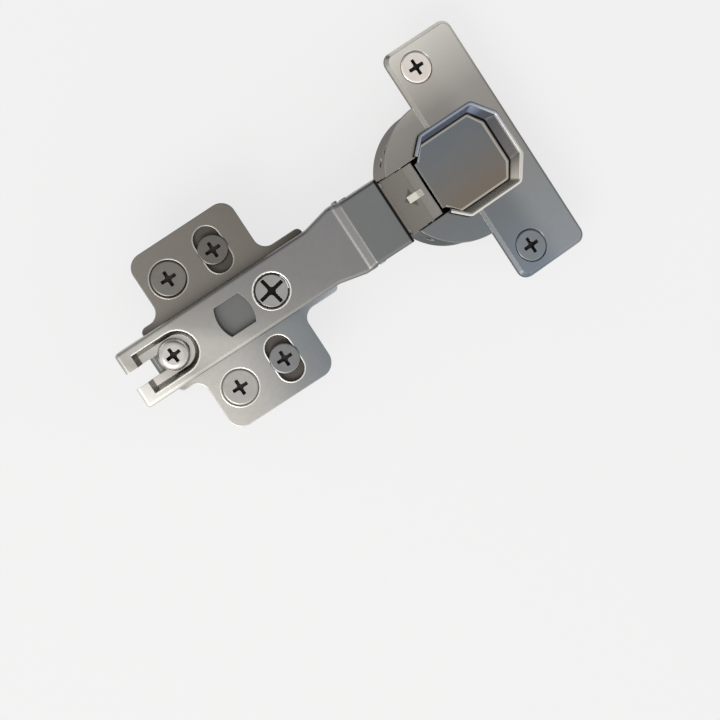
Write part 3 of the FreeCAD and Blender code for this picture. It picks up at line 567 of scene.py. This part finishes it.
# Painted light: the cup's screws are lighter at +Y and darker at −Y, as the light falls on the flange.
for side, y, colour in (("left", CUP_SCREW_Y, (224, 216, 208)), ("right", -CUP_SCREW_Y, (120, 125, 130))):
    wood_screw("cup_fixing_" + side, "cup_screw_" + side, CUP_FRAME @ at(CUP_SCREW_X, y, 0), 14.0,
               colour, "cup")

dome = [(2.45, 0.0), (2.9, -0.08), (3.35, -0.26), (3.7, -0.52), (3.92, -0.85), (4.0, -1.2),
        (4.0, -1.62), (3.9, -1.7), (1.95, -1.7)]
clamp_builder = screw_builder(dome, core_r=1.55, crest_r=1.95, pitch=1.0, tip_z=-8.65, tip_len=0.5,
                              thread_from=-2.4, recess=(3.9, 0.9, 0.42, 1.5, math.radians(5)))
clamp = make_object("clamp_screw", clamp_builder,
                    [screw_metal("clamp_screw_metal", (176, 173, 170)), dark], at(CLAMP_X, 0, CLAMP_TOP))
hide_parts("depth_screw")
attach(clamp, "depth_screw")


# Cap of the side adjusting screw, with narrower driver slots than the solid's

def cap_builder(graph):
    cross = cross_outline(7.0, 0.95, 0.75)
    loops = []
    for height in (0.1, 0.0):
        loops.append((ring(graph, 3.86, height, 40), level(graph, cross, height)))
    (top_rim, top_hole), (low_rim, low_hole) = loops
    fill_between(graph, top_rim, top_hole)
    stitch(graph, top_rim, low_rim)
    stitch(graph, top_hole, low_hole, smooth=False)


cap_metal = plain_metal("side_screw_cap_metal", (138, 137, 134), 0.28, edge=0.08)
cap = make_object("side_screw_cap", cap_builder, [cap_metal],
                  at(SIDE_SCREW_X, 0, SIDE_SCREW_TOP - 0.02) @ Matrix.Rotation(SIDE_SCREW_TURN, 4, "Z"))
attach(cap, "side_adjuster")


# Dark sheets in the plate's height slots: painted shade for the gap below the plate

def stadium_points(half_x, length, count=20):
    reach = length / 2 - half_x
    points = []
    for start, middle in ((0.0, reach), (math.pi, -reach)):
        for k in range(count + 1):
            angle = start + math.pi * k / count
            points.append((half_x * math.cos(angle), middle + half_x * math.sin(angle)))
    return points


def slot_shade_sheet_builder(graph):
    """Thin dark sheet of painted shade that fills the slot, with a hole for the screw's shank."""
    outline = stadium_points(3.4, 12.6)
    loops = []
    for height in (0.35, 0.02):
        outer = level(graph, outline, height)
        inner = ring(graph, 2.15, height, 24)
        fill_between(graph, outer, inner)
        loops.append((outer, inner))
    for upper, lower in zip(*loops):
        stitch(graph, upper, lower, smooth=False)


slot_shade_metal = plain_metal("slot_shade_sheet_metal", (78, 74, 70), 0.5, grain=0.1)
for side, word in ((1, "left"), (-1, "right")):
    made = make_object("height_slot_shade_sheet_" + word, slot_shade_sheet_builder, [slot_shade_metal],
                       at(HOLE_X, side * HOLE_Y, 0))
    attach(made, "mounting")


# Rounded beads along pressed edges, as rows of one outline at several offsets

def offset_outline(corners, offset, closed, count=7):
    """Rounded outline through (x, y, radius) corners listed anticlockwise, moved outwards."""
    total = len(corners)
    points = []
    for k in range(total):
        here = Vector(corners[k][:2])
        radius = corners[k][2]
        before = Vector(corners[k - 1][:2]) if closed or k > 0 else None
        after = Vector(corners[(k + 1) % total][:2]) if closed or k < total - 1 else None
        along_in = (here - before).normalized() if before is not None else (after - here).normalized()
        along_out = (after - here).normalized() if after is not None else along_in
        normal_in = Vector((along_in.y, -along_in.x))
        normal_out = Vector((along_out.y, -along_out.x))
        bisector = (normal_in + normal_out).normalized()
        stretch = 1 / max(0.3, bisector.dot(normal_in))
        corner = here + bisector * offset * stretch
        turn = along_in.angle(along_out) if before is not None and after is not None else 0.0
        bend = max(0.02, radius + offset)
        if turn < 1e-3:
            points += [corner] * count
            continue
        run = bend * math.tan(turn / 2)
        centre = corner - along_in * run - normal_in * bend
        start = math.atan2(normal_in.y, normal_in.x)
        for i in range(count):
            angle = start + turn * i / (count - 1)
            points.append(centre + Vector((math.cos(angle), math.sin(angle))) * bend)
    return points


def strip_builder(rows, closed):
    """Surface through rows of equally many (x, y, z) points."""
    def build(graph):
        before = None
        for places in rows:
            made = [graph.verts.new((x * MM, y * MM, z * MM)) for x, y, z in places]
            if before is not None:
                count = len(made)
                for k in range(count if closed else count - 1):
                    j = (k + 1) % count
                    if all((row[k].co - row[j].co).length < 1e-9 for row in (made, before)):
                        continue
                    face = graph.faces.new((before[k], before[j], made[j], made[k]))
                    face.smooth = True
            before = made
        bmesh.ops.remove_doubles(graph, verts=graph.verts, dist=1e-7)

    return build


def bead(name, corners, profile, closed, material, body):
    """Strip along a rounded outline, through an (offset outwards, height) profile."""
    rows = []
    for offset, height in profile:
        rows.append([(p.x, p.y, height) for p in offset_outline(corners, offset, closed)])
    made = make_object(name, strip_builder(rows, closed), [material])
    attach(made, body)


def round_corners(x, y, radius, reach=0.0):
    """Corners of a circle about (x, y), or of a slot that runs reach further each way along Y."""
    low, high = y - radius - reach, y + radius + reach
    return [(x + radius, low, radius), (x + radius, high, radius),
            (x - radius, high, radius), (x - radius, low, radius)]


def raised(profile, height):
    return [(offset, height + rise) for offset, rise in profile]


EDGE_BEAD = [(-0.07, -0.5), (-0.07, -0.16), (-0.02, -0.03), (0.1, 0.035), (0.24, 0.03), (0.4, -0.02)]
plate_bead = raised(EDGE_BEAD, PLATE_TOP)
# Painted highlights on the plate's beads: a light tone, and a dimmer copy on the left (+Y) side.
plate_edge_highlight = plain_metal("plate_edge_highlight_metal", (196, 193, 188), 0.28)
plate_edge_dim_highlight = plain_metal("plate_edge_dim_highlight_metal", (150, 146, 140), 0.28)
for side, word, metal in ((1, "left", plate_edge_dim_highlight), (-1, "right", plate_edge_highlight)):
    y = side * HOLE_Y
    bead("countersink_edge_" + word, round_corners(-HOLE_X, y, 4.75), plate_bead, True, metal,
         "mounting")
    bead("height_slot_edge_" + word,
         round_corners(HOLE_X, y, SLOT_HALF, SLOT_LENGTH / 2 - SLOT_HALF), plate_bead, True, metal,
         "mounting")

# Painted highlight on the beads along the arm's edges.
arm_edge_highlight = plain_metal("arm_edge_highlight_metal", (205, 202, 196), 0.28)
bead("seat_edge", [(-23.9, -5.4, 0.05), (-8.65, -5.4, 5.38), (-8.65, 5.4, 5.38), (-23.9, 5.4, 0.05)],
     raised(EDGE_BEAD, ARM_TOP), False, arm_edge_highlight, "arm")
bead("side_screw_edge", round_corners(SIDE_SCREW_X, 0, 4.3),
     [(0.12, 9.05), (0.16, 9.22), (0.3, 9.31), (0.48, 9.32), (0.62, 9.28)], True, arm_edge_highlight,
     "arm")


# Rolled rim and sloping wall of the cup's recess, and the edges of the flap in it

# Half outlines in the cup's frame, from the arm's end to the far end
RIM = [(-7.2, 7.75), (-3.3, 11.35), (12.3, 11.35), (16.7, 5.7)]
LAND = [(-7.7, 7.6), (-5.2, 9.85), (11.0, 9.85), (13.92, 5.85)]
FLAP = [(-7.2, 6.5), (-4.4, 9.5), (10.7, 9.5), (13.2, 5.7)]
FLAP_OUTER = [(-7.2, 6.6), (-4.4, 9.72), (10.85, 9.72), (13.75, 5.8)]
SHARP = 0.05


def both_sides(half, radius):
    """Corners anticlockwise from the lower left end to the upper left end."""
    lower = [(x, -y, radius) for x, y in half]
    upper = [(x, y, radius) for x, y in reversed(half)]
    ends = lower + upper
    return [(ends[0][0], ends[0][1], SHARP)] + ends[1:-1] + [(ends[-1][0], ends[-1][1], SHARP)]


def edge_strip(name, rows, material, body):
    """Strip through rows given as (half outline, corner radius, offset, height)."""
    points = []
    for half, radius, offset, height in rows:
        outline = offset_outline(both_sides(half, radius), offset, False)
        points.append([(p.x, p.y, height) for p in outline])
    made = make_object(name, strip_builder(points, False), [material], CUP_FRAME)
    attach(made, body)


edge_strip("recess_rim", [(RIM, 1.4, 0.62, -0.02), (RIM, 1.4, 0.5, 0.05), (RIM, 1.4, 0.2, 0.09),
                          (RIM, 1.4, -0.1, 0.05), (RIM, 1.4, -0.32, -0.12), (RIM, 1.4, -0.4, -0.34)],
           rim_metal(), "cup")
edge_strip("recess_wall", [(RIM, 1.4, -0.34, -0.26), (RIM, 1.4, -0.5, -0.42), (LAND, 1.0, 0.3, -1.5),
                           (LAND, 1.0, 0.1, -1.68), (LAND, 1.0, 0.0, -1.9), (LAND, 1.0, 0.0, -2.4),
                           (LAND, 1.0, 0.1, -2.6)],
           recess_metal(), "cup")
# Painted highlight: the flap's edge strip has a lighter tone than the flap.
edge_strip("flap_edge", [(FLAP, 1.0, -0.5, -1.992), (FLAP, 1.0, -0.05, -1.972),
                         (FLAP_OUTER, 1.0, -0.16, -2.0), (FLAP_OUTER, 1.0, -0.03, -2.12),
                         (FLAP_OUTER, 1.0, 0.0, -2.3), (FLAP_OUTER, 1.0, 0.0, -2.7)],
           plain_metal("flap_edge_highlight_metal", (164, 160, 153), 0.28), "flap")

# Rows across the flap's end at the neck: x, half width and height
lip_rows = [[(x, y, z) for y in (-half, -3.2, 0, 3.2, half)]
            for x, half, z in ((-7.5, 6.35, -1.985), (-7.98, 6.3, -1.99), (-8.1, 6.25, -2.08),
                               (-8.06, 6.3, -2.3), (-7.6, 6.35, -2.5))]
lip = make_object("flap_lip", strip_builder(lip_rows, False), [flap_metal()], CUP_FRAME)
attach(lip, "flap")


# Rolled tip of the neck, which is the outer link's visible part

LINK_START = Vector((39.8, 0, 6.8))
LINK_END = CUP_FRAME @ Vector((-11.2 * MM, 0, -4.4 * MM)) / MM
LINK_ALONG = (LINK_END - LINK_START).normalized()
LINK_UP = Vector((-LINK_ALONG.z, 0, LINK_ALONG.x))
LINK_LENGTH = (LINK_END - LINK_START).length
BEND_START = LINK_LENGTH - 0.6
BEND_FALL = 0.2388
NECK_TOP = 3.0


def on_link(u, v, y):
    """Point u along the line between the link's pins and v above it, in metres."""
    p = LINK_START + LINK_ALONG * u + LINK_UP * v
    return Vector((p.x, y, p.z)) * MM


def neck_height(u):
    """Height of the neck's top over the line between the pins."""
    return NECK_TOP - max(0.0, u - BEND_START) * BEND_FALL


def on_neck(u, y, lift):
    return on_link(u, neck_height(u) + lift, y)


def neck_roll_builder(graph):
    """Full width of the neck's tip, and two lobes that roll down about the cup pin beside the inner link."""
    half, lobe = 7.35, 2.3
    flat = []
    for u in (9.7, BEND_START, LINK_LENGTH + 0.4, LINK_LENGTH + 1.4, LINK_LENGTH + 2.3):
        v = neck_height(u) + 0.03
        flat.append((u, v, u, v - 0.45))
    rolled = []
    for degrees in (41.8, 40, 36, 31, 26, 21):
        c, s = math.cos(math.radians(degrees)), math.sin(math.radians(degrees))
        rolled.append((LINK_LENGTH + 3.385 * c, 3.385 * s, LINK_LENGTH + 2.94 * c, 2.94 * s))
    for left, right, rows, smooth in ((-half, half, flat + rolled[:1], False),
                                      (-half, -lobe, rolled, True), (lobe, half, rolled, True)):
        before = None
        for u, v, low_u, low_v in rows:
            row = [graph.verts.new(on_link(*point)) for point in (
                (u, v, left), (u, v, right), (low_u, low_v, right), (low_u, low_v, left))]
            if before is None:
                graph.faces.new(row)
            else:
                for k in range(4):
                    face = graph.faces.new((before[k], before[(k + 1) % 4], row[(k + 1) % 4], row[k]))
                    face.smooth = smooth and k == 0
            before = row
        graph.faces.new(list(reversed(before)))


roll = make_object("neck_roll", neck_roll_builder, [neck_metal(edge=0.02)])
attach(roll, "outer_link")


# Arrow pressed into the neck, with painted shade on its head and a painted highlight on its shaft

def bar_builder(stations, half, lift, inset):
    """Low bar along the neck that follows its bend, with sloping sides."""
    foot = -0.05

    def build(graph):
        rows = []
        for u in stations:
            height = foot if u in (stations[0], stations[-1]) else lift
            rows.append([graph.verts.new(on_neck(u, y, z)) for y, z in (
                (-half, foot), (-half + inset, height), (half - inset, height), (half, foot))])
        for first, second in zip(rows, rows[1:]):
            for k in range(3):
                graph.faces.new((first[k], first[k + 1], second[k + 1], second[k]))

    return build


def raised_builder(outline, lift, inset):
    """Low plateau over a convex outline given as (u, y) points, with sloping sides."""
    middle = sum((Vector(p) for p in outline), Vector((0, 0))) / len(outline)

    def build(graph):
        foot, top = [], []
        for u, y in outline:
            inward = (middle - Vector((u, y))).normalized() * inset
            foot.append(graph.verts.new(on_neck(u, y, -0.06)))
            top.append(graph.verts.new(on_neck(u + inward.x, y + inward.y, lift)))
        stitch(graph, top, foot, smooth=False)
        graph.faces.new(top)
        graph.faces.new(list(reversed(foot)))

    return build


arrow_head_shade_metal = plain_metal("arrow_head_painted_shade", (92, 87, 81), 0.32)
arrow_shaft_highlight_metal = plain_metal("arrow_shaft_painted_highlight", (206, 201, 190), 0.3)
head_outline = [(12.0, 0.0), (14.6, 2.6), (14.8, 1.1), (14.8, -1.1), (14.6, -2.6)]
shaft_stations = [13.0, 13.1, 15.2, 15.6, 15.9, 16.3, 17.5, 17.6]
for name, build, material in (
        ("arrow_head", raised_builder(head_outline, 0.13, 0.14), arrow_head_shade_metal),
        ("arrow_shaft", bar_builder(shaft_stations, 1.02, 0.18, 0.08), arrow_shaft_highlight_metal)):
    made = make_object(name, build, [material])
    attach(made, "outer_link")


# Floor, light and camera

def floor():
    """Pale floor that takes soft shadows. To the camera it mostly glows, so that it stays even."""
    half = 3.0
    low = FLOOR_Z * MM
    mesh = bpy.data.meshes.new("floor")
    mesh.from_pydata([(-half, -half, low), (half, -half, low), (half, half, low), (-half, half, low)],
                     [], [(0, 1, 2, 3)])
    made = bpy.data.objects.new("floor", mesh)
    bpy.context.scene.collection.objects.link(made)
    material = bpy.data.materials.new("floor_pale")
    tree = Tree(material)
    output = tree.add("ShaderNodeOutputMaterial")
    mix = tree.add("ShaderNodeMixShader")
    diffuse = tree.add("ShaderNodeBsdfDiffuse")
    diffuse.inputs["Color"].default_value = (0.8, 0.8, 0.8, 1)
    glow = tree.add("ShaderNodeEmission")
    noise = tree.add("ShaderNodeTexNoise")
    noise.inputs["Scale"].default_value = 4.0
    tree.link(tree.mix(noise.outputs["Fac"], linear(238, 238, 238), linear(240, 240, 240)),
              glow.inputs["Color"])
    path = tree.add("ShaderNodeLightPath").outputs
    seen = tree.math("MAXIMUM", path["Is Camera Ray"], path["Is Glossy Ray"])
    seen = tree.math("MAXIMUM", seen, path["Is Transmission Ray"])
    tree.link(tree.math("MULTIPLY", seen, 0.85), mix.inputs[0])
    tree.link(diffuse.outputs[0], mix.inputs[1])
    tree.link(glow.outputs[0], mix.inputs[2])
    tree.link(mix.outputs[0], output.inputs[0])
    mesh.materials.append(material)


# Brightness of the room, from the side away from ROOM_LIGHT (0) to the side it points at (1)
ROOM_LIGHT = (-0.62, -0.72, 0.0)
ROOM_STOPS = [(0.0, 0.14), (0.2, 0.3), (0.29, 0.9), (0.35, 1.12), (0.44, 1.05), (0.54, 0.98),
              (0.75, 1.45), (1.0, 1.7)]
ROOM_STRENGTH = 2.0


def world():
    """Studio room that the metal mirrors. To the camera it is plain pale grey."""
    made = bpy.data.worlds.new("studio")
    bpy.context.scene.world = made
    tree = Tree(made)
    output = tree.add("ShaderNodeOutputWorld")
    room = tree.add("ShaderNodeBackground")
    room.inputs["Strength"].default_value = ROOM_STRENGTH
    pale = tree.add("ShaderNodeBackground")
    pale.inputs["Color"].default_value = linear(239, 239, 239)
    mix = tree.add("ShaderNodeMixShader")
    path = tree.add("ShaderNodeLightPath")
    where = tree.add("ShaderNodeTexCoord")
    side = tree.dot(where.outputs["Generated"], ROOM_LIGHT)
    scaled = tree.map_range(side, {"From Min": -1, "From Max": 1})
    greys = [(place, (*[value / ROOM_STRENGTH] * 3, 1)) for place, value in ROOM_STOPS]
    tree.link(tree.stepped(scaled, greys), room.inputs["Color"])
    tree.link(path.outputs["Is Camera Ray"], mix.inputs[0])
    tree.link(room.outputs[0], mix.inputs[1])
    tree.link(pale.outputs[0], mix.inputs[2])
    tree.link(mix.outputs[0], output.inputs[0])


def lamp(name, place, target, size, power, colour):
    data = bpy.data.lights.new(name, "AREA")
    data.shape = "DISK"
    data.size = size
    data.energy = power
    data.color = colour
    made = bpy.data.objects.new(name, data)
    bpy.context.scene.collection.objects.link(made)
    made.location = place
    made.rotation_euler = (Vector(target) - Vector(place)).to_track_quat("-Z", "Y").to_euler()


def camera():
    """Camera fitted to the photograph."""
    data = bpy.data.cameras.new("camera")
    data.sensor_fit = "HORIZONTAL"
    data.sensor_width = 36.0
    data.lens = 121.5
    data.clip_start = 0.01
    made = bpy.data.objects.new("camera", data)
    bpy.context.scene.collection.objects.link(made)
    right = Vector((0.83696, -0.5469, 0.01978))
    up = Vector((0.54602, 0.83208, -0.09748))
    back = Vector((0.03685, 0.09239, 0.99504))
    turn = Matrix((right, up, back)).transposed().to_4x4()
    made.matrix_world = Matrix.Translation((0.04392, 0.0288, 0.59824)) @ turn
    bpy.context.scene.camera = made


floor()
world()
lamp("key", (-0.35, -0.25, 0.6), (0.03, 0, 0), 0.4, 2.0, (1.0, 0.97, 0.93))
camera()
bpy.context.scene.view_settings.view_transform = "Standard"
